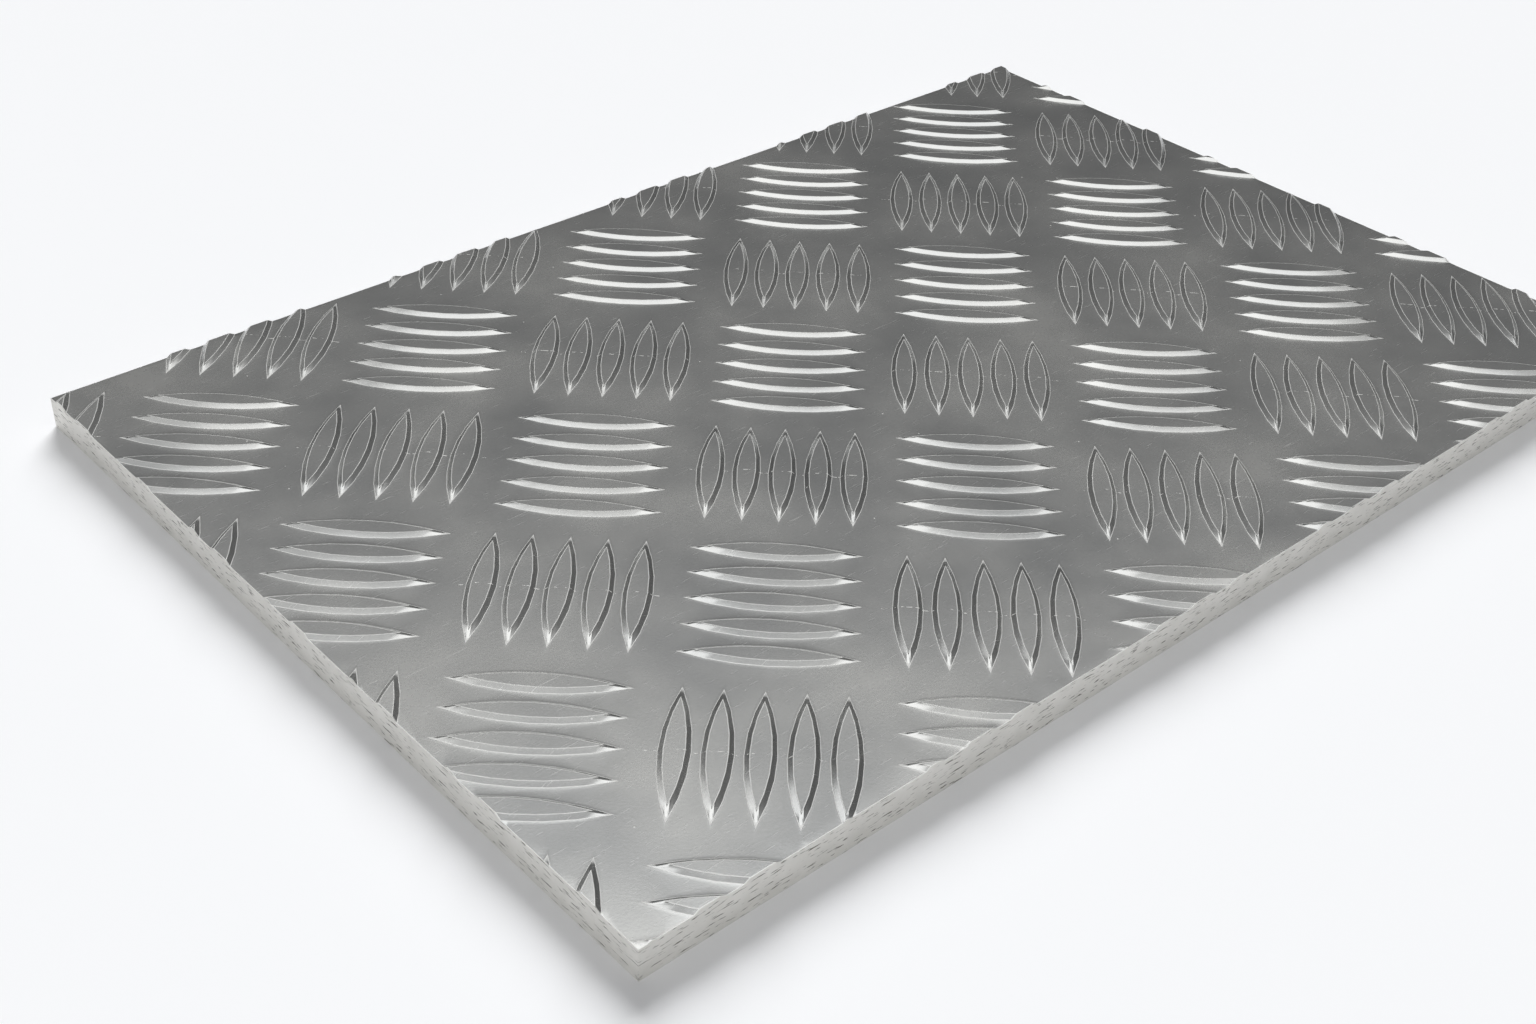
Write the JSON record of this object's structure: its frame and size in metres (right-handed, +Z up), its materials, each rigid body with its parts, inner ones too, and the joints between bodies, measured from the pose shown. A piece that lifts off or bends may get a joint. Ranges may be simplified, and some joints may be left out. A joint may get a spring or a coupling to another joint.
{
  "type": "aluminium checker plate",
  "caption": "Flat rectangular aluminium tread plate with a raised lens-bar anti-slip pattern on its upper face and a plain underside.",
  "frame": {"origin": "bottom centre of the plate, on its plain underside", "axes": "+X along the long edges, +Y along the short edges, +Z up out of the tread face"},
  "size_m": [0.25, 0.17, 0.0066],
  "materials": {
    "mill_finish_aluminium": "bright rolled mill finish, sheared edges"
  },
  "bodies": {
    "root": {"checker_plate": "mill_finish_aluminium"}
  },
  "joints": []
}
